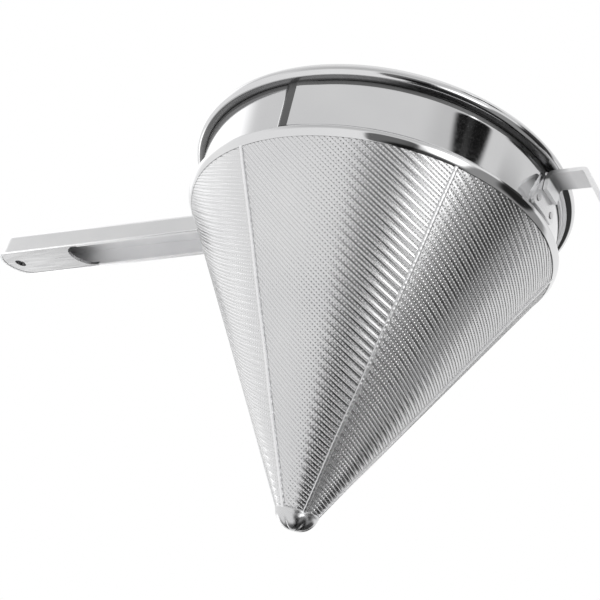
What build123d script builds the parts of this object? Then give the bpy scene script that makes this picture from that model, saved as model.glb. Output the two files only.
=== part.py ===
from build123d import *
import os
from math import sin, cos, tan, radians, degrees, sqrt, asin, atan

os.makedirs("parts", exist_ok=True)

# Chinois strainer. Millimetres, +Z up along the cone's axis, mouth up.
# z = 0 is the plane of the rim bead's underside, which rests on a pot or a
# stand; the handle points to -X and the hook lies near +X.

# ---- driving dimensions -------------------------------------------------
# rim bead and the wire inside it
BEAD_R = 103.0          # centre circle of the bead
BEAD_Z = 2.9            # height of the bead's centre
BEAD_TUBE = 3.0         # outer radius of the rolled bead
WIRE_R = 2.0            # radius of the stiffening wire

# plain collar band, slightly tapered
BAND_T = 1.2            # sheet thickness
BAND_TOP_R = 100.2      # outer radius under the bead
BAND_BOT_R = 97.9       # outer radius at the bottom edge
BAND_TOP_Z = 1.3
BAND_BOT_Z = -23.3
LAP_AZ = 269.0          # centre of the lap seam
LAP_DEG = 2.6           # width of the lapped end
LAP_T = 0.7             # step of the lapped end

# cone
CONE_R = 100.0          # outer radius at CONE_Z
CONE_Z = -28.3
APEX_Z = -189.0         # where the outer surface would close to a point
GORE_TOP_Z = -27.7
GORE_BOT_Z = -173.9
GORE_T = 0.8
SEAM_AZ0 = 16.5
N_GORES = 6
SEAM_W = 1.7
SEAM_PROUD = 0.55
HEM_Z = -31.2            # lower edge of the smooth hem that grips the cone's top

# tip cap
CAP_TOP_Z = -172.4
CAP_KNEE_Z = -174.0       # where the cup starts to round in
CAP_BOT_Z = -180.8
CAP_T = 0.7

# handle: inverted channel, drooping slightly
HANDLE_DROOP = 4.0      # degrees below level
HANDLE_ROOT_X = -99.0
HANDLE_LEN = 203.0
HANDLE_TOP_Z = -3.9     # top face at the root
HANDLE_W0 = 26.5        # width at the root
HANDLE_W1 = 31.5        # width at the end
HANDLE_H0 = 13.2        # depth at the root
HANDLE_H1 = 16.0        # depth at the end
HANDLE_T = 1.5
END_PLATE_LEN = 70.0
END_PLATE_T = 2.0
HANG_R = 4.0
LIP_W = 1.6             # the walls' lower edges turn in by this much
LIP_T = 1.2
PRONG = 14.0            # length of the end plate's prongs along the walls

# hook
HOOK_AZ = -10.5
HOOK_W = 13.5
HOOK_T = 2.0
HOOK_BEND_R = 119.0     # radius at which the level run turns down
HOOK_MID_Z = -2.9       # middle of the run's thickness at the collar
HOOK_RUN_DROP = 1.5     # the run slopes down by this much to its bend
HOOK_DROP = 21.0        # height of the downturned end
HOOK_SPLAY = 24.0       # the downturned end leans outward, degrees
HOOK_LEG_Z = -12.0      # lower end of the leg on the foot
PAD_T = 1.5             # root pads under the handle and the hook
FOOT_W = 23.0           # width of the hook's foot at its lower edge
BAND_TILT = degrees(atan((BAND_TOP_R - BAND_BOT_R) / (BAND_TOP_Z - BAND_BOT_Z)))


def cone_r(z):
    """Outer radius of the cone's sheet at a height."""
    return CONE_R * (z - APEX_Z) / (CONE_Z - APEX_Z)


def band_r(z):
    """Outer radius of the collar band at a height."""
    k = (z - BAND_BOT_Z) / (BAND_TOP_Z - BAND_BOT_Z)
    return BAND_BOT_R + k * (BAND_TOP_R - BAND_BOT_R)


# half angle of the cone and its sheet's thickness measured along a radius
HALF = degrees(asin(1.0 / sqrt(1.0 + ((CONE_Z - APEX_Z) / CONE_R) ** 2)))
GORE_DR = GORE_T / cos(radians(HALF))

# ---- collar band --------------------------------------------------------
# A strip rolled into a ring; its outer end laps over the inner one.
with BuildPart() as collar_band:
    with BuildSketch(Plane.XZ) as band_sk:
        with BuildLine():
            Polyline(
                (BAND_BOT_R - BAND_T, BAND_BOT_Z),
                (BAND_BOT_R, BAND_BOT_Z),
                (BAND_TOP_R, BAND_TOP_Z),
                (BAND_TOP_R - BAND_T, BAND_TOP_Z),
                close=True,
            )
        make_face()
    revolve(axis=Axis.Z, revolution_arc=360)
    with BuildSketch(Plane.XZ.rotated((0, 0, LAP_AZ - LAP_DEG / 2))) as lap_sk:
        with BuildLine():
            Polyline(
                (BAND_BOT_R - 0.3, BAND_BOT_Z + 0.4),
                (BAND_BOT_R + LAP_T, BAND_BOT_Z + 0.4),
                (band_r(-0.9) + LAP_T, -0.9),
                (band_r(-0.9) - 0.3, -0.9),
                close=True,
            )
        make_face()
    revolve(axis=Axis.Z, revolution_arc=LAP_DEG)
collar_band.part.label = "collar_band"
export_step(collar_band.part, "parts/collar_band.step")

# ---- rim bead -----------------------------------------------------------
# Rolled tube with a skirt that grips the inside of the collar's top edge.
with BuildPart() as rim_bead:
    with BuildSketch(Plane.XZ) as bead_sk:
        with BuildLine():
            Polyline(
                (BAND_TOP_R - BAND_T - 0.9, -6.0),
                (band_r(-6.0) - BAND_T - 0.02, -6.0),
                (BAND_TOP_R - BAND_T - 0.02, BAND_TOP_Z),
                (BEAD_R - BEAD_TUBE + 0.5, BAND_TOP_Z + 0.02),
                (BEAD_R - BEAD_TUBE + 0.5, BAND_TOP_Z + 1.9),
                (BAND_TOP_R - BAND_T - 0.9, BAND_TOP_Z + 1.9),
                close=True,
            )
        make_face()
        with Locations((BEAD_R, BEAD_Z)):
            Circle(BEAD_TUBE)
            Circle(WIRE_R, mode=Mode.SUBTRACT)
    revolve(axis=Axis.Z, revolution_arc=360)
rim_bead.part.label = "rim_bead"
export_step(rim_bead.part, "parts/rim_bead.step")

# ---- stiffening wire inside the bead ------------------------------------
with BuildPart() as rim_wire:
    with BuildSketch(Plane.XZ) as wire_sk:
        with Locations((BEAD_R, BEAD_Z)):
            Circle(WIRE_R - 0.02)
    revolve(axis=Axis.Z, revolution_arc=360)
rim_wire.part.label = "rim_wire"
export_step(rim_wire.part, "parts/rim_wire.step")

# ---- lip ring -----------------------------------------------------------
# Flared ring under the collar, ending in a smooth hem that lies over the
# cone's top edge; the cone is seated in the ledge behind the hem.
with BuildPart() as lip_ring:
    with BuildSketch(Plane.XZ) as lip_sk:
        with BuildLine():
            Polyline(
                (BAND_BOT_R, BAND_BOT_Z),
                (100.6, -26.0),
                (101.1, -26.6),
                (101.15, -27.0),
                (cone_r(HEM_Z + 0.15) + 0.45, HEM_Z + 0.15),
                (cone_r(HEM_Z) + 0.25, HEM_Z),
                (cone_r(HEM_Z) + 0.02, HEM_Z),
                (cone_r(GORE_TOP_Z) + 0.02, GORE_TOP_Z + 0.02),
                (cone_r(GORE_TOP_Z) - GORE_DR - 0.3, GORE_TOP_Z + 0.02),
                (BAND_BOT_R - BAND_T, BAND_BOT_Z),
                (BAND_BOT_R, BAND_BOT_Z),
            )
        make_face()
    revolve(axis=Axis.Z, revolution_arc=360)
lip_ring.part.label = "lip_ring"
export_step(lip_ring.part, "parts/lip_ring.step")


# ---- cone gores and the seams between them ------------------------------
def seam_plane(az):
    """Plane whose X axis is the outward radius at this azimuth."""
    a = radians(az)
    return Plane(origin=(0, 0, 0), x_dir=(cos(a), sin(a), 0), z_dir=(sin(a), -cos(a), 0))


for i in range(N_GORES):
    az = SEAM_AZ0 + i * 360.0 / N_GORES

    # raised strip along the cone's side, flush inside and proud outside
    with BuildPart() as cone_seam:
        with BuildSketch(seam_plane(az)) as seam_sk:
            with BuildLine():
                Polyline(
                    (cone_r(GORE_TOP_Z - 0.6) - GORE_DR, GORE_TOP_Z - 0.6),
                    (cone_r(HEM_Z - 0.05), HEM_Z - 0.05),
                    (cone_r(HEM_Z - 0.1) + SEAM_PROUD, HEM_Z - 0.1),
                    (cone_r(CAP_TOP_Z + 0.3) + SEAM_PROUD, CAP_TOP_Z + 0.3),
                    (cone_r(CAP_TOP_Z + 0.2), CAP_TOP_Z + 0.2),
                    (cone_r(CAP_TOP_Z) - GORE_DR, CAP_TOP_Z),
                    close=True,
                )
            make_face()
        extrude(amount=SEAM_W / 2, both=True)
    cone_seam.part.label = f"cone_seam_{i + 1}"
    export_step(cone_seam.part, f"parts/cone_seam_{i + 1}.step")

    # sixth part of the cone, its edges parallel to the strips beside it
    with BuildPart() as cone_gore:
        with BuildSketch(Plane.XZ.rotated((0, 0, az))) as gore_sk:
            with BuildLine():
                Polyline(
                    (cone_r(GORE_TOP_Z) - GORE_DR, GORE_TOP_Z),
                    (cone_r(GORE_TOP_Z), GORE_TOP_Z),
                    (cone_r(GORE_BOT_Z), GORE_BOT_Z),
                    (cone_r(GORE_BOT_Z) - GORE_DR, GORE_BOT_Z),
                    close=True,
                )
            make_face()
        revolve(axis=Axis.Z, revolution_arc=360.0 / N_GORES)
        for side in (az, az + 360.0 / N_GORES):
            with BuildSketch(seam_plane(side)) as cut_sk:
                with BuildLine():
                    Polyline(
                        (0.5, 0), (120, 0), (120, -200), (0.5, -200), close=True
                    )
                make_face()
            extrude(amount=SEAM_W / 2 + 0.01, both=True, mode=Mode.SUBTRACT)
    cone_gore.part.label = f"cone_gore_{i + 1}"
    export_step(cone_gore.part, f"parts/cone_gore_{i + 1}.step")

# ---- tip cap ------------------------------------------------------------
# Rounded cup pressed over the cone's end.
cap_r = cone_r(CAP_TOP_Z)
with BuildPart() as tip_cap:
    with BuildSketch(Plane.XZ) as cap_sk:
        with BuildLine():
            Line((cap_r + 0.03, CAP_TOP_Z), (cap_r + CAP_T, CAP_TOP_Z))
            Line((cap_r + CAP_T, CAP_TOP_Z), (cone_r(CAP_KNEE_Z) + CAP_T, CAP_KNEE_Z))
            Bezier(
                (cone_r(CAP_KNEE_Z) + CAP_T, CAP_KNEE_Z),
                (cone_r(CAP_KNEE_Z - 2.2) + CAP_T, CAP_KNEE_Z - 2.2),
                (6.0, CAP_BOT_Z),
                (0, CAP_BOT_Z),
            )
            Line((0, CAP_BOT_Z), (0, CAP_BOT_Z + 1.0))
            Bezier(
                (0, CAP_BOT_Z + 1.0),
                (4.4, CAP_BOT_Z + 1.0),
                (cone_r(CAP_KNEE_Z - 1.6) + 0.03, CAP_KNEE_Z - 1.6),
                (cone_r(CAP_KNEE_Z) + 0.03, CAP_KNEE_Z),
            )
            Line((cone_r(CAP_KNEE_Z) + 0.03, CAP_KNEE_Z), (cap_r + 0.03, CAP_TOP_Z))
        make_face()
    revolve(axis=Axis.Z, revolution_arc=360)
tip_cap.part.label = "tip_cap"
export_step(tip_cap.part, "parts/tip_cap.step")

# ---- handle -------------------------------------------------------------
# Local frame: x along the handle away from the bowl, z up from its top face.
DR = radians(HANDLE_DROOP)
handle_top = Plane(
    origin=(HANDLE_ROOT_X, 0, HANDLE_TOP_Z),
    x_dir=(-cos(DR), 0, -sin(DR)),
    z_dir=(-sin(DR), 0, cos(DR)),
)


def half_w(x):
    """Half width of the channel at a distance from the root."""
    return (HANDLE_W0 + (HANDLE_W1 - HANDLE_W0) * x / HANDLE_LEN) / 2


# plane of the slanted underside
UND = radians(HANDLE_DROOP + degrees((HANDLE_H1 - HANDLE_H0) / HANDLE_LEN))
under = Plane(
    origin=handle_top.from_local_coords((0, 0, -HANDLE_H0)),
    x_dir=(-cos(UND), 0, -sin(UND)),
    z_dir=(-sin(UND), 0, cos(UND)),
)
END_X = HANDLE_LEN - half_w(HANDLE_LEN)     # centre of the rounded end
PX0 = HANDLE_LEN - END_PLATE_LEN            # open edge of the end plate
with BuildPart() as handle_channel:
    # outer body: tapered plan with a rounded end, the lower edge deepening
    with BuildSketch(handle_top) as plan_sk:
        with BuildLine():
            Line((0, -half_w(0)), (END_X, -half_w(END_X)))
            ThreePointArc(
                (END_X, -half_w(END_X)), (HANDLE_LEN, 0), (END_X, half_w(END_X))
            )
            Line((END_X, half_w(END_X)), (0, half_w(0)))
            Line((0, half_w(0)), (0, -half_w(0)))
        make_face()
    extrude(amount=-20)
    top_face = handle_channel.faces().sort_by(Axis(handle_top.origin, handle_top.z_dir))[-1]
    fillet(
        top_face.edges().sort_by(Axis(handle_top.origin, handle_top.x_dir))[1:],
        radius=3.5,
    )
    # slanted underside
    with BuildSketch(Plane.XZ) as slant_sk:
        with BuildLine():
            p0 = handle_top.from_local_coords((-5, 0, -HANDLE_H0 + 0.1))
            p1 = handle_top.from_local_coords((HANDLE_LEN + 5, 0, -HANDLE_H1 - 0.1))
            p2 = handle_top.from_local_coords((HANDLE_LEN + 5, 0, -30))
            p3 = handle_top.from_local_coords((-5, 0, -30))
            Polyline((p0.X, p0.Z), (p1.X, p1.Z), (p2.X, p2.Z), (p3.X, p3.Z), close=True)
        make_face()
    extrude(amount=40, both=True, mode=Mode.SUBTRACT)
    # hollow, open below
    with BuildSketch(handle_top.offset(-HANDLE_T)) as hollow_sk:
        with BuildLine():
            Line((-6, -half_w(0) + HANDLE_T), (END_X, -half_w(END_X) + HANDLE_T))
            ThreePointArc(
                (END_X, -half_w(END_X) + HANDLE_T),
                (HANDLE_LEN - HANDLE_T, 0),
                (END_X, half_w(END_X) - HANDLE_T),
            )
            Line((END_X, half_w(END_X) - HANDLE_T), (-6, half_w(0) - HANDLE_T))
            Line((-6, half_w(0) - HANDLE_T), (-6, -half_w(0) + HANDLE_T))
        make_face()
    extrude(amount=-30, mode=Mode.SUBTRACT)
    # lips along both lower edges, up to the end plate's prongs
    with BuildSketch(under) as lips_sk:
        for side in (-1, 1):
            with BuildLine():
                Polyline(
                    (-6, side * (half_w(-6) - HANDLE_T + 0.2)),
                    (PX0 - PRONG - 0.2, side * (half_w(PX0 - PRONG) - HANDLE_T + 0.2)),
                    (PX0 - PRONG - 0.2, side * (half_w(PX0 - PRONG) - HANDLE_T - LIP_W)),
                    (-6, side * (half_w(-6) - HANDLE_T - LIP_W)),
                    close=True,
                )
            make_face()
    extrude(amount=LIP_T)
    # hanging hole through the top face
    with BuildSketch(handle_top) as hole_sk:
        with Locations((END_X + 1.0, 0)):
            Circle(HANG_R)
    extrude(amount=-6, mode=Mode.SUBTRACT)
    # the root follows the face of its pad on the collar
    with BuildSketch(Plane.XZ) as root_sk:
        with BuildLine():
            Polyline(
                (0, -40), (band_r(-40) + PAD_T + 0.02, -40),
                (band_r(20) + PAD_T + 0.02, 20), (0, 20), close=True,
            )
        make_face()
    revolve(axis=Axis.Z, revolution_arc=360, mode=Mode.SUBTRACT)
handle_channel.part.label = "handle_channel"
export_step(handle_channel.part, "parts/handle_channel.step")

# plate that closes the underside of the handle's end, with a prong along each wall
IN = HANDLE_T + 0.02
with BuildPart() as handle_end_plate:
    with BuildSketch(under.offset(0.3)) as plate_sk:
        with BuildLine():
            Line((PX0 - PRONG, -half_w(PX0 - PRONG) + IN), (END_X, -half_w(END_X) + IN))
            ThreePointArc(
                (END_X, -half_w(END_X) + IN),
                (HANDLE_LEN - IN, 0),
                (END_X, half_w(END_X) - IN),
            )
            Line((END_X, half_w(END_X) - IN), (PX0 - PRONG, half_w(PX0 - PRONG) - IN))
            Line((PX0 - PRONG, half_w(PX0 - PRONG) - IN), (PX0 - PRONG, half_w(PX0 - PRONG) - IN - LIP_W))
            ThreePointArc(
                (PX0 - PRONG, half_w(PX0 - PRONG) - IN - LIP_W),
                (PX0 + 1.0, 0),
                (PX0 - PRONG, -half_w(PX0 - PRONG) + IN + LIP_W),
            )
            Line((PX0 - PRONG, -half_w(PX0 - PRONG) + IN + LIP_W), (PX0 - PRONG, -half_w(PX0 - PRONG) + IN))
        make_face()
    extrude(amount=END_PLATE_T)
    with BuildSketch(handle_top) as plate_hole_sk:
        with Locations((END_X + 1.0, 0)):
            Circle(HANG_R)
    extrude(amount=-24, mode=Mode.SUBTRACT)
handle_end_plate.part.label = "handle_end_plate"
export_step(handle_end_plate.part, "parts/handle_end_plate.step")


# ---- root pads ----------------------------------------------------------
def radial_plane(az, r, z):
    """Plane across the radius at this azimuth, facing outward."""
    a = radians(az)
    return Plane(
        origin=(r * cos(a), r * sin(a), z), x_dir=(-sin(a), cos(a), 0), z_dir=(cos(a), sin(a), 0)
    )


def face_plane(az, z, out):
    """Plane that lies along the collar's outer face, set out from it."""
    a, t = radians(az), radians(BAND_TILT)
    r = band_r(z) + out
    return Plane(
        origin=(r * cos(a), r * sin(a), z), x_dir=(-sin(a), cos(a), 0),
        z_dir=(cos(a) * cos(t), sin(a) * cos(t), -sin(t)),
    )


# curved rectangle under the handle's root
with BuildPart() as handle_root_plate:
    with BuildSketch(Plane.XZ.rotated((0, 0, 165))) as pad_sk:
        with BuildLine():
            Polyline(
                (band_r(-21.5) + 0.02, -21.5),
                (band_r(-21.5) + PAD_T, -21.5),
                (band_r(-1.2) + PAD_T, -1.2),
                (band_r(-1.2) + 0.02, -1.2),
                close=True,
            )
        make_face()
    revolve(axis=Axis.Z, revolution_arc=30)
    with BuildSketch(radial_plane(180, 90, -11.35)) as pad_plan:
        RectangleRounded(40.0, 20.3, 4.0)
    extrude(amount=20, mode=Mode.INTERSECT)
handle_root_plate.part.label = "handle_root_plate"
export_step(handle_root_plate.part, "parts/handle_root_plate.step")

# foot under the hook's root, as wide as the strip at its top and flared below
with BuildPart() as hook_root_plate:
    with BuildSketch(Plane.XZ.rotated((0, 0, HOOK_AZ - 15))) as foot_sk:
        with BuildLine():
            Polyline(
                (band_r(-21.5) + 0.02, -21.5),
                (band_r(-21.5) + PAD_T, -21.5),
                (band_r(-1.4) + PAD_T, -1.4),
                (band_r(-1.4) + 0.02, -1.4),
                close=True,
            )
        make_face()
    revolve(axis=Axis.Z, revolution_arc=30)
    with BuildSketch(radial_plane(HOOK_AZ, 90, 0)) as foot_plan:
        with BuildLine():
            Polyline(
                (-HOOK_W / 2 - 0.3, -1.5), (HOOK_W / 2 + 0.3, -1.5),
                (HOOK_W / 2 + 0.8, -5.0), (FOOT_W / 2, -16.0), (FOOT_W / 2, -21.4),
                (-FOOT_W / 2, -21.4), (-FOOT_W / 2, -16.0), (-HOOK_W / 2 - 0.8, -5.0),
                close=True,
            )
        make_face()
        fillet(foot_plan.vertices().group_by(Axis.Z)[0], radius=3.0)
    extrude(amount=20, mode=Mode.INTERSECT)
hook_root_plate.part.label = "hook_root_plate"
export_step(hook_root_plate.part, "parts/hook_root_plate.step")

# ---- hook ---------------------------------------------------------------
# One bent strip: leg on the pad, level run under the bead, splayed end.
spl = radians(HOOK_SPLAY)
with BuildPart() as hook_strip:
    with BuildSketch(seam_plane(HOOK_AZ)) as hook_sk:
        with BuildLine() as hook_ln:
            FilletPolyline(
                (band_r(HOOK_LEG_Z) + PAD_T + 0.02 + HOOK_T / 2, HOOK_LEG_Z),
                (band_r(HOOK_MID_Z) + PAD_T + 0.02 + HOOK_T / 2, HOOK_MID_Z),
                (HOOK_BEND_R, HOOK_MID_Z - HOOK_RUN_DROP),
                (HOOK_BEND_R + HOOK_DROP * tan(spl), HOOK_MID_Z - HOOK_RUN_DROP - HOOK_DROP),
                radius=2.4,
            )
        trace(line_width=HOOK_T)
    extrude(amount=HOOK_W / 2, both=True)
    tip_edges = (
        hook_strip.edges()
        .filter_by(lambda e: abs(e.length - HOOK_T) < 0.05)
        .filter_by(lambda e: e.center().Z < -20 and e.center().X > 110)
    )
    fillet(tip_edges, radius=3.0)
hook_strip.part.label = "hook_strip"
export_step(hook_strip.part, "parts/hook_strip.step")

# ---- weld nuggets on the two roots --------------------------------------
with BuildPart() as spot_welds:
    for w_az, w_z in (
        (180.0 - 9.2, -7.0), (180.0 - 9.2, -15.5), (180.0 + 9.2, -7.0), (180.0 + 9.2, -15.5),
        (HOOK_AZ - 4.4, -17.2), (HOOK_AZ + 4.4, -17.2),
    ):
        with BuildSketch(face_plane(w_az, w_z, PAD_T + 0.04)):
            Circle(1.7)
        extrude(amount=0.3)
spot_welds.part.label = "spot_welds"
export_step(spot_welds.part, "parts/spot_welds.step")
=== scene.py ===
import bpy
import bmesh
import math
from mathutils import Matrix, Vector


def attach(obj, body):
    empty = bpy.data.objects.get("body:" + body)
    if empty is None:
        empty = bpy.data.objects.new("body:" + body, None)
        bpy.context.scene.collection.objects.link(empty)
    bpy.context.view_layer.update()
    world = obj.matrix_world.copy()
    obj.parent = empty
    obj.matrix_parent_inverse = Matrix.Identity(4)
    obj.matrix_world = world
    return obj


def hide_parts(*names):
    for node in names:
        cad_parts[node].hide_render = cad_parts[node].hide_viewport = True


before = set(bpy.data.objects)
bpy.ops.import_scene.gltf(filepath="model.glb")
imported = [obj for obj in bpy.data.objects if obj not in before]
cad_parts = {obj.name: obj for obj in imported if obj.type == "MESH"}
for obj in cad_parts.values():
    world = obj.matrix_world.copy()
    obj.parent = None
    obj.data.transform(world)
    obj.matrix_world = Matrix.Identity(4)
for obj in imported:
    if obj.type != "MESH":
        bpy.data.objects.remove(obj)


def write_size():
    """Updates the view layer; called before and after the looks are added."""
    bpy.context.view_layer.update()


write_size()

MM = 0.001
scene = bpy.context.scene

# ---- dimensions shared with the solids, in millimetres -------------------
BEAD_R, BEAD_Z, BEAD_TUBE = 103.0, 2.9, 3.0
BAND_T, BAND_TOP_R, BAND_BOT_R = 1.2, 100.2, 97.9
BAND_TOP_Z, BAND_BOT_Z = 1.3, -23.3
LAP_AZ = 269.0
CONE_R, CONE_Z, APEX_Z = 100.0, -28.3, -189.0
SEAM_AZ0, N_GORES = 16.5, 6
CAP_TOP_Z, CAP_KNEE_Z, CAP_BOT_Z, CAP_T = -172.4, -174.0, -180.8, 0.7
HEM_Z = -30.3

HALF = math.atan2(CONE_R, CONE_Z - APEX_Z)
SIN_H, COS_H = math.sin(HALF), math.cos(HALF)


def cone_r(z):
    return CONE_R * (z - APEX_Z) / (CONE_Z - APEX_Z)


def band_r(z):
    k = (z - BAND_BOT_Z) / (BAND_TOP_Z - BAND_BOT_Z)
    return BAND_BOT_R + k * (BAND_TOP_R - BAND_BOT_R)


# ---- materials -----------------------------------------------------------
def steel(name, tone, rough, rough_var=0.03, grain=None, grain_scale=900.0,
          bump=0.0, bump_scale=600.0, tint=0.03, stretch=(1, 1, 1), smudge=0.0):
    """Stainless steel: fine grain, faint smudges and tone drift, all from noise."""
    mat = bpy.data.materials.new(name)
    mat.use_nodes = True
    nt = mat.node_tree
    bsdf = nt.nodes["Principled BSDF"]
    bsdf.inputs["Metallic"].default_value = 1.0
    coord = nt.nodes.new("ShaderNodeTexCoord")
    mapping = nt.nodes.new("ShaderNodeMapping")
    mapping.inputs["Scale"].default_value = stretch
    nt.links.new(coord.outputs["Object"], mapping.inputs["Vector"])

    drift = nt.nodes.new("ShaderNodeTexNoise")
    drift.inputs["Scale"].default_value = 22.0
    drift.inputs["Detail"].default_value = 4.0
    nt.links.new(coord.outputs["Object"], drift.inputs["Vector"])
    ramp = nt.nodes.new("ShaderNodeValToRGB")
    ramp.color_ramp.elements[0].position = 0.3
    ramp.color_ramp.elements[1].position = 0.72
    a = tone - tint
    b = min(1.0, tone + tint)
    ramp.color_ramp.elements[0].color = (a, a, a * 1.012, 1)
    ramp.color_ramp.elements[1].color = (b, b, b * 1.004, 1)
    nt.links.new(drift.outputs["Fac"], ramp.inputs["Fac"])
    nt.links.new(ramp.outputs["Color"], bsdf.inputs["Base Color"])

    fine = nt.nodes.new("ShaderNodeTexNoise")
    fine.inputs["Scale"].default_value = grain_scale
    fine.inputs["Detail"].default_value = 3.0
    nt.links.new(mapping.outputs["Vector"], fine.inputs["Vector"])
    span = nt.nodes.new("ShaderNodeMapRange")
    span.inputs["From Min"].default_value = 0.25
    span.inputs["From Max"].default_value = 0.75
    span.inputs["To Min"].default_value = max(0.02, rough - rough_var)
    span.inputs["To Max"].default_value = rough + rough_var + smudge
    nt.links.new(fine.outputs["Fac"], span.inputs["Value"])
    nt.links.new(span.outputs["Result"], bsdf.inputs["Roughness"])

    if bump > 0:
        ripple = nt.nodes.new("ShaderNodeTexNoise")
        ripple.inputs["Scale"].default_value = bump_scale
        ripple.inputs["Detail"].default_value = 2.0
        nt.links.new(mapping.outputs["Vector"], ripple.inputs["Vector"])
        bm = nt.nodes.new("ShaderNodeBump")
        bm.inputs["Strength"].default_value = bump
        bm.inputs["Distance"].default_value = 0.0001
        nt.links.new(ripple.outputs["Fac"], bm.inputs["Height"])
        nt.links.new(bm.outputs["Normal"], bsdf.inputs["Normal"])
    return mat


M_POLISH = steel("polished_collar", 0.72, 0.07, 0.025, grain_scale=700, bump=0.06, bump_scale=90)
M_BEAD = steel("polished_bead", 0.70, 0.10, 0.03, grain_scale=900, bump=0.05, bump_scale=160)
M_MESH = steel("mesh_wire", 0.72, 0.24, 0.05, grain_scale=1500, bump=0.10, bump_scale=1200)
M_SEAM = steel("weld_strip", 0.85, 0.30, 0.06, grain_scale=1200, bump=0.25, bump_scale=700)
M_HANDLE = steel("handle_satin_painted_light", 0.74, 0.23, 0.05, grain_scale=500, bump=0.12, bump_scale=420,
                 stretch=(0.06, 1.0, 1.0))
# end plate: the handle's satin steel in a darker tone, painted shade
M_PLATE = steel("plate_satin_painted_shade", 0.53, 0.26, 0.06, grain_scale=500, bump=0.12, bump_scale=420,
                stretch=(0.06, 1.0, 1.0))
M_HOOK = steel("hook_polish", 0.76, 0.24, 0.03, grain_scale=900, bump=0.08, bump_scale=300)
# dull steel for the hook; its pale tone is painted light
M_STRIP = steel("hook_dull_painted_pale", 0.92, 0.42, 0.04, grain_scale=900, bump=0.08, bump_scale=300)
M_STRIP.node_tree.nodes["Principled BSDF"].inputs["Metallic"].default_value = 0.30
M_CAP = steel("tip_steel", 0.66, 0.27, 0.05, grain_scale=900, bump=0.2, bump_scale=260)
M_WIRE = steel("drawn_wire", 0.6, 0.35, 0.05, grain_scale=900)
# dark lap seam: weld heat tint plus painted shade along the lap's edge
M_LAP = steel("lap_heat_tint_and_painted_shade", 0.16, 0.30, 0.06, grain_scale=400, bump=0.3, bump_scale=300)
# dark copy of the steel: painted shade in the crease under the bead
M_CREASE = steel("painted_shade_under_bead", 0.24, 0.30, 0.05, tint=0.02, grain_scale=500)
# pale, dull copy: painted light on the same crease beside the hook
M_PALE = steel("painted_pale_underside", 0.93, 0.60, 0.05, grain_scale=500)
M_PALE.node_tree.nodes["Principled BSDF"].inputs["Metallic"].default_value = 0.3
M_WELD = steel("weld_nugget", 0.6, 0.3, 0.08, grain_scale=900, bump=0.3, bump_scale=800)


def handle_finish_and_painted_light(mat, wall=0.0131, slope=0.0836, foot=-0.0088):
    """The channel's inside is painted paler to lift its shade and is duller; its lower edges get a painted
    highlight.
    """
    nt = mat.node_tree
    bsdf = nt.nodes["Principled BSDF"]
    tone_in = bsdf.inputs["Base Color"].links[0].from_socket
    rough_in = bsdf.inputs["Roughness"].links[0].from_socket

    def math_node(op, *values):
        node = nt.nodes.new("ShaderNodeMath")
        node.operation = op
        for i, v in enumerate(values):
            if isinstance(v, (int, float)):
                node.inputs[i].default_value = v
            else:
                nt.links.new(v, node.inputs[i])
        return node.outputs[0]

    coord = nt.nodes.new("ShaderNodeTexCoord")
    sep = nt.nodes.new("ShaderNodeSeparateXYZ")
    nt.links.new(coord.outputs["Object"], sep.inputs[0])
    x, y, z = sep.outputs
    # the walls stand further apart towards the handle's end
    half = math_node("MULTIPLY_ADD", math_node("ADD", x, 0.099), -0.0123, wall - 0.0012)
    below = math_node("LESS_THAN", math_node("SUBTRACT", z, math_node("MULTIPLY_ADD", x, 0.0699, 0.0021)), 0.0)
    inner = math_node("MULTIPLY", math_node("LESS_THAN", math_node("ABSOLUTE", y), half), below)
    # painted highlight along the channel's lower edges
    low = math_node("LESS_THAN", math_node("MULTIPLY_ADD", x, -slope, z), foot + 0.0003)
    # the inside is painted 28 percent paler to lift its shade
    gain = math_node("MULTIPLY_ADD", inner, 0.28, 1.0)
    gain = math_node("MAXIMUM", gain, math_node("MULTIPLY_ADD", low, 0.33, 1.0))
    # faces above the sloping plane are made 14 percent darker
    gain = math_node("MULTIPLY", gain, math_node("MULTIPLY_ADD", below, 0.14, 0.86))
    scale = nt.nodes.new("ShaderNodeVectorMath")
    scale.operation = "SCALE"
    nt.links.new(tone_in, scale.inputs[0])
    nt.links.new(gain, scale.inputs["Scale"])
    nt.links.new(scale.outputs[0], bsdf.inputs["Base Color"])
    nt.links.new(math_node("MULTIPLY_ADD", inner, 0.24, rough_in), bsdf.inputs["Roughness"])
    nt.links.new(math_node("MULTIPLY_ADD", inner, -0.55, 1.0), bsdf.inputs["Metallic"])


handle_finish_and_painted_light(M_HANDLE)


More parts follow.
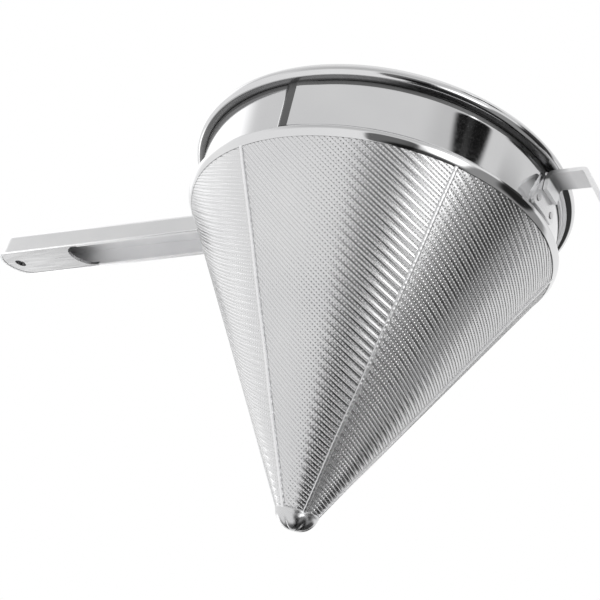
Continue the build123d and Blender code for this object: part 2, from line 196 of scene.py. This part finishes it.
def strip_painted_shade_and_light(mat, near=0.1035, far=0.1120):
    """The hook is painted dark as shade at its root and painted pale as light along its run."""
    nt = mat.node_tree
    bsdf = nt.nodes["Principled BSDF"]
    tone_in = bsdf.inputs["Base Color"].links[0].from_socket
    coord = nt.nodes.new("ShaderNodeTexCoord")
    along = nt.nodes.new("ShaderNodeVectorMath")
    along.operation = "DOT_PRODUCT"
    along.inputs[1].default_value = (0.98325, -0.18224, 0.0)
    nt.links.new(coord.outputs["Object"], along.inputs[0])
    # painted shade at the root, rising to painted light along the run
    step = nt.nodes.new("ShaderNodeMapRange")
    step.inputs["From Min"].default_value = near
    step.inputs["From Max"].default_value = far
    step.inputs["To Min"].default_value = 0.16
    step.inputs["To Max"].default_value = 1.05
    nt.links.new(along.outputs["Value"], step.inputs["Value"])
    # the leg on the foot is painted pale again below the run
    sep = nt.nodes.new("ShaderNodeSeparateXYZ")
    nt.links.new(coord.outputs["Object"], sep.inputs[0])
    leg = nt.nodes.new("ShaderNodeMapRange")
    leg.inputs["From Min"].default_value = -0.0060
    leg.inputs["From Max"].default_value = -0.0072
    leg.inputs["To Min"].default_value = 0.16
    leg.inputs["To Max"].default_value = 1.05
    nt.links.new(sep.outputs["Z"], leg.inputs["Value"])
    both = nt.nodes.new("ShaderNodeMath")
    both.operation = "MAXIMUM"
    nt.links.new(step.outputs["Result"], both.inputs[0])
    nt.links.new(leg.outputs["Result"], both.inputs[1])
    scale = nt.nodes.new("ShaderNodeVectorMath")
    scale.operation = "SCALE"
    nt.links.new(tone_in, scale.inputs[0])
    nt.links.new(both.outputs[0], scale.inputs["Scale"])
    nt.links.new(scale.outputs[0], bsdf.inputs["Base Color"])


strip_painted_shade_and_light(M_STRIP)


# ---- mesh helpers ----------------------------------------------------------
def make_object(name, verts, faces, mat, smooth=True, uvs=None):
    mesh = bpy.data.meshes.new(name)
    mesh.from_pydata(verts, [], faces)
    mesh.validate()
    if smooth:
        mesh.polygons.foreach_set("use_smooth", [True] * len(mesh.polygons))
    if uvs is not None:
        layer = mesh.uv_layers.new(name="OFBake")
        flat = [0.0] * (2 * len(mesh.loops))
        for i, loop in enumerate(mesh.loops):
            u, v = uvs[loop.vertex_index]
            flat[2 * i] = u
            flat[2 * i + 1] = v
        layer.data.foreach_set("uv", flat)
    mesh.materials.append(mat)
    mesh.update()
    ob = bpy.data.objects.new(name, mesh)
    scene.collection.objects.link(ob)
    return ob


def lathe(name, profile, mat, steps=384, offset=None, sharp=40, merge=False):
    """Closed ring from a closed (r, z) profile in mm; offset(az, k) moves points."""
    n = len(profile)
    verts, faces = [], []
    for j in range(steps):
        az = 2 * math.pi * j / steps
        for k, (r, z) in enumerate(profile):
            dr, dz = offset(math.degrees(az), k) if offset else (0.0, 0.0)
            rr = r + dr
            verts.append((rr * math.cos(az) * MM, rr * math.sin(az) * MM, (z + dz) * MM))
    for j in range(steps):
        j2 = (j + 1) % steps
        for k in range(n):
            k2 = (k + 1) % n
            faces.append((j * n + k, j2 * n + k, j2 * n + k2, j * n + k2))
    ob = make_object(name, verts, faces, mat)
    if merge:
        bm = bmesh.new()
        bm.from_mesh(ob.data)
        bmesh.ops.remove_doubles(bm, verts=bm.verts, dist=1e-7)
        bmesh.ops.dissolve_degenerate(bm, edges=bm.edges, dist=1e-7)
        bm.to_mesh(ob.data)
        bm.free()
        ob.data.polygons.foreach_set("use_smooth", [True] * len(ob.data.polygons))
    fix_normals(ob)
    ob.data.set_sharp_from_angle(angle=math.radians(sharp))
    return ob


def fix_normals(ob):
    bm = bmesh.new()
    bm.from_mesh(ob.data)
    bmesh.ops.recalc_face_normals(bm, faces=bm.faces)
    bm.to_mesh(ob.data)
    bm.free()


def arc(cx, cz, r, a0, a1, n):
    return [(cx + r * math.cos(math.radians(a0 + (a1 - a0) * i / n)),
             cz + r * math.sin(math.radians(a0 + (a1 - a0) * i / n))) for i in range(n + 1)]


def smooth_step(x):
    x = max(0.0, min(1.0, x))
    return x * x * (3 - 2 * x)


# ---- collar band with its lap seam -----------------------------------------
def lap_offset(az, k):
    """The lapped end stands 0.7 mm proud and blends back after a few degrees."""
    d = (az - LAP_AZ + 180) % 360 - 180
    if k in OUTER:
        if -1.3 <= d <= 1.3:
            return 0.7, 0.0
        if 1.3 < d < 9.0:
            return 0.7 * (1 - smooth_step((d - 1.3) / 7.7)), 0.0
    return 0.0, 0.0


PALE_ARC = (-8.0, 55.0)      # degrees round the rim where the crease is painted pale instead of painted dark
# the strip's top flares out a little into the bead
FLARE = {-3.2: 0.0, -2.6: 0.015, -2.0: 0.05, -1.4: 0.115, -0.9: 0.20, -0.3: 0.30, 0.0: 0.36}
OUT_PTS = [(band_r(z), z) for z in (BAND_BOT_Z + 0.25, -20, -16, -12, -8, -4.2)]
OUT_PTS += [(band_r(z) + out, z) for z, out in FLARE.items()]
collar_profile = (
    [(BAND_BOT_R - 0.25, BAND_BOT_Z)]
    + OUT_PTS
    + [(BAND_TOP_R + 0.2, 0.3), (BAND_TOP_R - 0.3, BAND_TOP_Z), (BAND_TOP_R - BAND_T, BAND_TOP_Z)]
    + [(band_r(z) - BAND_T, z) for z in (-6, -14, BAND_BOT_Z + 0.1)]
)
OUTER = set(range(1, 1 + len(OUT_PTS)))
collar = lathe("collar_strip", collar_profile, M_POLISH, steps=720, offset=lap_offset)
collar.data.materials.append(M_LAP)
collar.data.materials.append(M_CREASE)
collar.data.materials.append(M_PALE)
for face in collar.data.polygons:
    c = face.center / MM
    d = (math.degrees(math.atan2(c.y, c.x)) - LAP_AZ + 180) % 360 - 180
    # the lapped end gets the dark lap colour: weld heat tint plus painted shade of its edge
    if abs(d) < 1.28 and math.hypot(c.x, c.y) > band_r(c.z) - 0.2:
        face.material_index = 1
    elif c.z > -1.75 and math.hypot(c.x, c.y) > band_r(c.z) - 0.2:
        # crease right under the bead painted dark as shade, painted pale and dull beside the hook
        beside = PALE_ARC[0] < math.degrees(math.atan2(c.y, c.x)) < PALE_ARC[1]
        face.material_index = 3 if beside else 2
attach(collar, "root")
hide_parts("collar_band")

# ---- rolled bead ------------------------------------------------------------
CREASE_TOP = -73.0    # the bead's underside is painted dark as shade up to here, degrees round its section
bead_profile = [
    (BAND_TOP_R + 0.1, BAND_TOP_Z - 0.55), (100.62, 0.06), (101.0, -0.10), (101.6, -0.16), (102.3, -0.15),
]
bead_profile += arc(BEAD_R, BEAD_Z, BEAD_TUBE, -90, 172, 34)
bead_profile += [
    (BAND_TOP_R - BAND_T - 0.45, BAND_TOP_Z + 1.9),
    (BAND_TOP_R - BAND_T - 0.9, BAND_TOP_Z + 1.3),
    (BAND_TOP_R - BAND_T - 0.9, -5.6),
    (BAND_TOP_R - BAND_T - 0.75, -6.0),
    (band_r(-6.0) - BAND_T - 0.02, -6.0),
    (BAND_TOP_R - BAND_T - 0.02, BAND_TOP_Z + 0.02),
    (BAND_TOP_R + 0.02, BAND_TOP_Z + 0.02),
]
bead = lathe("rolled_bead", bead_profile, M_BEAD, steps=512)
bead.data.materials.append(M_CREASE)
bead.data.materials.append(M_PALE)
for face in bead.data.polygons:
    c = face.center / MM
    r, z = math.hypot(c.x, c.y), c.z
    angle = math.degrees(math.atan2(z - BEAD_Z, r - BEAD_R))
    # painted pale beside the hook, painted shade elsewhere under the bead
    if PALE_ARC[0] < math.degrees(math.atan2(c.y, c.x)) < PALE_ARC[1]:
        if r > BAND_TOP_R + 0.05 and z < 0.7 and r < 102.5:
            face.material_index = 2
    elif (r > BAND_TOP_R + 0.05 and z < 0.7 and r < BEAD_R) or -95 < angle < CREASE_TOP:
        face.material_index = 1
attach(bead, "root")
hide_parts("rim_bead")

# ---- lip ring ------------------------------------------------------------------
lip_profile = [
    (BAND_BOT_R - 0.02, BAND_BOT_Z + 0.02), (98.3, -23.62), (99.2, -24.4), (100.2, -25.2), (100.85, -25.75),
    (101.16, -26.05), (101.30, -26.32), (101.26, -26.60),
    (cone_r(-27.4) + 0.46, -27.4), (cone_r(-28.3) + 0.43, -28.3), (cone_r(-29.1) + 0.36, -29.1),
    (cone_r(-29.8) + 0.25, -29.8), (cone_r(-30.15) + 0.14, -30.15), (cone_r(HEM_Z) + 0.03, HEM_Z),
    (cone_r(HEM_Z) - 0.06, HEM_Z), (cone_r(-27.7) + 0.02, -27.68),
    (cone_r(-28.0) - 1.0, -27.9),
    (BAND_BOT_R - BAND_T, BAND_BOT_Z + 0.02),
]
lip = lathe("rounded_lip", lip_profile, M_POLISH, steps=512)
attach(lip, "root")
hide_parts("lip_ring")


# ---- woven wire gores -----------------------------------------------------------
PITCH_A, PITCH_B = 1.66, 1.68     # wire spacings
W_A, W_B, WIRE_T = 1.35, 1.54, 0.30
CRIMP = 0.090                     # the wires on top dip a little between the cross wires
BELOW, PEEK = 0.20, 0.06          # the cross wires pass below them and rise in the gaps
LEAN = math.radians(2.9)          # neighbouring wires lean to opposite sides
MID = -0.30                       # middle of the cloth, from the cone's outer face
SLANT_TOP = (-28.9 - APEX_Z) / COS_H
SLANT_BOT = (-173.7 - APEX_Z) / COS_H
PSI_MAX = math.radians(30.0) * SIN_H


def to_cone(u, v, h, phi_c):
    """Developed (u, v) in mm to the cone, h mm along the outward normal."""
    s = math.hypot(u, v)
    phi = phi_c + math.atan2(u, v) / SIN_H
    r = s * SIN_H + h * COS_H
    z = APEX_Z + s * COS_H - h * SIN_H
    return (r * math.cos(phi) * MM, r * math.sin(phi) * MM, z * MM)


def inside(u, v):
    s = math.hypot(u, v)
    if s < SLANT_BOT or s > SLANT_TOP:
        return False
    psi = math.atan2(u, v)
    return abs(psi) < PSI_MAX and s * math.sin(PSI_MAX - abs(psi)) > 0.25


def weave_gore(index, beta):
    """One gore of wire cloth; one set of wires lies at beta from its centre line."""
    phi_c = math.radians(SEAM_AZ0 + 60.0 * index + 30.0)
    d_a = (math.sin(beta), -math.cos(beta))
    d_b = (math.cos(beta), math.sin(beta))
    y = 0.5 * WIRE_T
    n = 6
    verts, faces, uvs = [], [], []
    count = int((SLANT_TOP + 4) / PITCH_A) + 1

    def add_wire(points, d, width, lean):
        base = len(verts)
        x = 0.5 * width
        section = [(x, 0.0), (0.62 * x, y), (-0.62 * x, y), (-x, 0.0), (-0.62 * x, -y), (0.62 * x, -y)]
        ca, sa = math.cos(lean), math.sin(lean)
        for (u, v, h) in points:
            for (a, b) in section:
                side, lift = a * ca - b * sa, a * sa + b * ca
                uu = u - d[1] * side
                vv = v + d[0] * side
                verts.append(to_cone(uu, vv, h + lift, phi_c))
                top = 0.0 if b > 0 else 0.5
                uvs.append((top + 0.25 + 0.24 * (uu / 56.0), 0.02 + 0.96 * (vv / 200.0)))
        for j in range(len(points) - 1):
            p, q = base + j * n, base + (j + 1) * n
            for k in range(n):
                k2 = (k + 1) % n
                faces.append((p + k, q + k, q + k2, p + k2))
        faces.append(tuple(base + k for k in range(n)))
        end = base + (len(points) - 1) * n
        faces.append(tuple(end + k for k in reversed(range(n))))

    def edge_point(inner, outer):
        """Where the wire between these two points leaves the gore."""
        a, b = 0.0, 1.0
        for _ in range(7):
            t = 0.5 * (a + b)
            if inside(inner[0] + t * (outer[0] - inner[0]), inner[1] + t * (outer[1] - inner[1])):
                a = t
            else:
                b = t
        return tuple(inner[i] + a * (outer[i] - inner[i]) for i in range(3))

    def lay(origin, d, width, pitch, high, low, lean=0.0):
        """A wire that is high at each crossing number and low half way between."""
        run, before = [], None
        for half in range(-2 * count, 2 * count + 1):
            t = 0.5 * half * pitch
            here = (origin[0] + d[0] * t, origin[1] + d[1] * t, low if half % 2 else high)
            if inside(here[0], here[1]):
                if not run and before is not None:
                    run.append(edge_point(here, before))
                run.append(here)
            elif run:
                run.append(edge_point(run[-1], here))
                if len(run) > 2:
                    add_wire(run, d, width, lean)
                run = []
            before = here

    for m in range(-count, count + 1):
        lay((d_b[0] * m * PITCH_A, d_b[1] * m * PITCH_A), d_a, W_A, PITCH_B,
            MID + CRIMP, MID - CRIMP, LEAN if m % 2 else -LEAN)
    for k in range(-count, count + 1):
        lay((d_a[0] * k * PITCH_B, d_a[1] * k * PITCH_B), d_b, W_B, PITCH_A,
            MID - BELOW, MID - PEEK)
    ob = make_object(f"wire_cloth_{index + 1}", verts, faces, M_MESH, uvs=uvs)
    ob.data.set_sharp_from_angle(angle=math.radians(28))
    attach(ob, "root")
    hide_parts(f"cone_gore_{index + 1}")
    return ob


BETA = {4: 54.0, 5: 74.0}   # measured from each gore's centre line
for i in range(N_GORES):
    weave_gore(i, math.radians(BETA.get(i, 60.0)))


# ---- raised seams between the gores -----------------------------------------------
def seam_bead(index):
    """Half-round weld strip along the cone, with the small ripples of a weld."""
    phi = math.radians(SEAM_AZ0 + 60.0 * index)
    er = Vector((math.cos(phi), math.sin(phi), 0.0))
    et = Vector((-math.sin(phi), math.cos(phi), 0.0))
    s0, s1 = (-172.8 - APEX_Z) / COS_H, (-30.0 - APEX_Z) / COS_H
    along = Vector((er.x * SIN_H, er.y * SIN_H, COS_H))
    normal = Vector((er.x * COS_H, er.y * COS_H, -SIN_H))
    steps = 260
    section = [(1.0, 0.0), (0.94, 0.45), (0.78, 0.80), (0.55, 0.97), (0.2, 1.0),
               (-0.2, 1.0), (-0.55, 0.97), (-0.78, 0.80), (-0.94, 0.45), (-1.0, 0.0)]
    section += [(-1.0, -1.7), (1.0, -1.7)]
    n = len(section)
    verts, faces = [], []
    for j in range(steps + 1):
        s = s0 + (s1 - s0) * j / steps
        w = 0.92 + 0.07 * math.sin(s * 1.9 + index) + 0.04 * math.sin(s * 4.7)
        hgt = 0.42 + 0.05 * math.sin(s * 3.1 + 2 * index) + 0.03 * math.sin(s * 7.3)
        sway = 0.12 * math.sin(s * 0.11 + index)
        for (a, b) in section:
            height = b * hgt if b > 0 else b * 0.7
            p = Vector((0, 0, APEX_Z)) + along * s + normal * (height + 0.10) + et * (a * w + sway)
            verts.append(tuple(p * MM))
    for j in range(steps):
        for k in range(n):
            k2 = (k + 1) % n
            faces.append((j * n + k, (j + 1) * n + k, (j + 1) * n + k2, j * n + k2))
    faces.append(tuple(range(n)))
    faces.append(tuple(steps * n + k for k in reversed(range(n))))
    ob = make_object(f"weld_seam_{index + 1}", verts, faces, M_SEAM)
    fix_normals(ob)
    ob.data.set_sharp_from_angle(angle=math.radians(50))
    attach(ob, "root")
    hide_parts(f"cone_seam_{index + 1}")


for i in range(N_GORES):
    seam_bead(i)

# ---- tip cap ----------------------------------------------------------------------
cap_profile = [
    (cone_r(-172.15) + 0.05, -172.10), (10.70, -172.06), (10.80, -172.26), (10.78, -172.60), (10.60, -173.10),
    (10.38, -173.60), (10.26, -173.95), (10.16, -174.40), (9.98, -175.20), (9.52, -176.15),
    (8.85, -177.15), (7.95, -178.15), (6.85, -179.05), (5.55, -179.80), (4.2, -180.30), (2.8, -180.62),
    (1.4, -180.76), (0.0, -180.80),
    (0.0, -179.8), (3.2, -179.6), (6.4, -178.0), (cone_r(-174.0) + 0.03, -174.0),
]


def cap_dents(az, k):
    """Six shallow crimps around the cup's shoulder."""
    if 8 <= k <= 15:
        d = (az - 22.0 + 30.0) % 60.0 - 30.0
        fall = math.exp(-(d / 10.0) ** 2) * math.sin(math.pi * (k - 7) / 9.0)
        return -0.50 * fall, 0.35 * fall
    return 0.0, 0.0


cap = lathe("rounded_tip", cap_profile, M_CAP, steps=240, offset=cap_dents, merge=True)
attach(cap, "root")
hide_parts("tip_cap")

# ---- finish of the solids that stay -------------------------------------------------
finishes = {
    "rim_wire": M_WIRE, "handle_channel": M_HANDLE, "handle_end_plate": M_PLATE,
    "handle_root_plate": M_HOOK, "hook_strip": M_STRIP, "hook_root_plate": M_HOOK,
    "spot_welds": M_WELD,
}
for node, mat in finishes.items():
    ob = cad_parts[node]
    for s in ob.material_slots:
        s.material = mat


# ---- camera ----------------------------------------------------------------------------
def add_camera():
    cam = bpy.data.cameras.new("camera")
    cam.sensor_fit = "HORIZONTAL"
    cam.sensor_width = 36.0
    cam.lens = 42.0
    cam.clip_start = 0.01
    cam.clip_end = 50
    ob = bpy.data.objects.new("camera", cam)
    scene.collection.objects.link(ob)
    right = Vector((0.860607, 0.440925, 0.254835))
    up = Vector((-0.016372, -0.47618, 0.879195))
    back = -Vector((-0.509007, 0.760814, 0.402585))
    m = Matrix.Identity(4)
    for r in range(3):
        m[r][0], m[r][1], m[r][2] = right[r], up[r], back[r]
    m[0][3], m[1][3], m[2][3] = 0.166764, -0.296875, -0.216563
    ob.matrix_world = m
    scene.camera = ob
    return ob


add_camera()

# ---- light ------------------------------------------------------------------------------
# A white room with a few dark flags. Each flag is a soft-edged patch of directions:
# azimuth and half width, elevation and half height, edge softness, tone, corner power.
FLAGS = [
    ("cone_band", -61, 15.5, -42, 27, 0.10, 0.16, 4),
    ("cone_band_fade", -45, 7, -38, 18, 0.80, 0.60, 3),
    ("cone_low", -38, 28, -52, 16, 0.20, 0.09, 4),
    ("cone_right", 15, 32, -31, 28, 0.12, 0.33, 4),
    ("column", 14, 13, 0, 27, 0.18, 0.06, 4),
    ("patch_glow", -31, 13, -23, 11, 0.35, 2.6, 3),
    ("collar_stripe", -18, 12.5, 35, 9, 0.14, 0.01, 2.5),
    ("stripe_streak", -20, 2.2, 35, 12, 0.80, 5.0, 2),
    ("collar_grey", -50, 105, 30, 18, 0.12, 0.80, 4),
    ("collar_shade", -33, 9, 31, 14, 0.80, 0.86, 3),
    ("horizon_grey", -78, 42, 4, 17, 0.35, 0.66, 3),
    ("left_glow", 180, 24, 24, 20, 0.30, 1.45, 3),
    ("handle_glow", 148, 17, -20, 9, 0.25, 1.9, 3),
    ("under_right", 74, 32, -56, 42, 0.09, 0.045, 5),
    ("under_mid", 112, 12, -66, 31, 0.08, 0.10, 5),
    ("under_left_a", 134, 17, -62, 31, 0.12, 0.50, 5),
    ("under_left_b", 137, 29, -62, 31, 0.12, 0.55, 5),
    ("under_left_c", 141, 44, -62, 31, 0.14, 0.60, 5),
    ("nadir", 25, 85, -84, 28, 0.10, 0.03, 6),
]

world = bpy.data.worlds.new("studio")
scene.world = world
world.use_nodes = True
scene.view_settings.view_transform = "Standard"


def build_room():
    nt = world.node_tree
    nt.nodes.clear()

    def math_node(op, *values):
        node = nt.nodes.new("ShaderNodeMath")
        node.operation = op
        for i, v in enumerate(values):
            if isinstance(v, (int, float)):
                node.inputs[i].default_value = v
            else:
                nt.links.new(v, node.inputs[i])
        return node.outputs[0]

    coord = nt.nodes.new("ShaderNodeTexCoord")
    sep = nt.nodes.new("ShaderNodeSeparateXYZ")
    nt.links.new(coord.outputs["Generated"], sep.inputs[0])
    azimuth = math_node("ARCTAN2", sep.outputs["Y"], sep.outputs["X"])
    elevation = math_node("ARCSINE", math_node("MAXIMUM", math_node("MINIMUM", sep.outputs["Z"], 0.99999), -0.99999))
    total = None
    for name, az, az_half, el, el_half, soft, tone, power in FLAGS:
        u = math_node("WRAP", math_node("SUBTRACT", azimuth, math.radians(az)), math.pi, -math.pi)
        u = math_node("DIVIDE", math_node("ABSOLUTE", u), math.radians(az_half))
        v = math_node("ABSOLUTE", math_node("SUBTRACT", elevation, math.radians(el)))
        v = math_node("DIVIDE", v, math.radians(el_half))
        q = math_node("ADD", math_node("POWER", u, power), math_node("POWER", v, power))
        q = math_node("POWER", q, 1.0 / power)
        edge = nt.nodes.new("ShaderNodeMapRange")
        edge.interpolation_type = "SMOOTHSTEP"
        edge.inputs["From Min"].default_value = 1 - soft
        edge.inputs["From Max"].default_value = 1 + soft
        edge.inputs["To Min"].default_value = tone
        edge.inputs["To Max"].default_value = 1.0
        nt.links.new(q, edge.inputs["Value"])
        total = edge.outputs[0] if total is None else math_node("MULTIPLY", total, edge.outputs[0])
    room = nt.nodes.new("ShaderNodeBackground")
    nt.links.new(total, room.inputs["Strength"])
    open_white = nt.nodes.new("ShaderNodeBackground")
    path = nt.nodes.new("ShaderNodeLightPath")
    mix = nt.nodes.new("ShaderNodeMixShader")
    nt.links.new(path.outputs["Is Camera Ray"], mix.inputs["Fac"])
    nt.links.new(room.outputs[0], mix.inputs[1])
    nt.links.new(open_white.outputs[0], mix.inputs[2])
    for node in (room, open_white):
        node.inputs["Color"].default_value = (1, 1, 1, 1)
    open_white.inputs["Strength"].default_value = 1.0
    out = nt.nodes.new("ShaderNodeOutputWorld")
    nt.links.new(mix.outputs[0], out.inputs["Surface"])


build_room()


def plain(name, color, rough=0.9):
    mat = bpy.data.materials.new(name)
    mat.use_nodes = True
    b = mat.node_tree.nodes["Principled BSDF"]
    b.inputs["Base Color"].default_value = (*color, 1)
    b.inputs["Roughness"].default_value = rough
    return mat


M_FLOOR = plain("pale_floor", (0.94, 0.94, 0.94))
floor = make_object("floor", [(-2.5, -2.5, -0.62), (2.5, -2.5, -0.62), (2.5, 2.5, -0.62), (-2.5, 2.5, -0.62)],
                    [(0, 1, 2, 3)], M_FLOOR, smooth=False)
floor.visible_glossy = False

write_size()
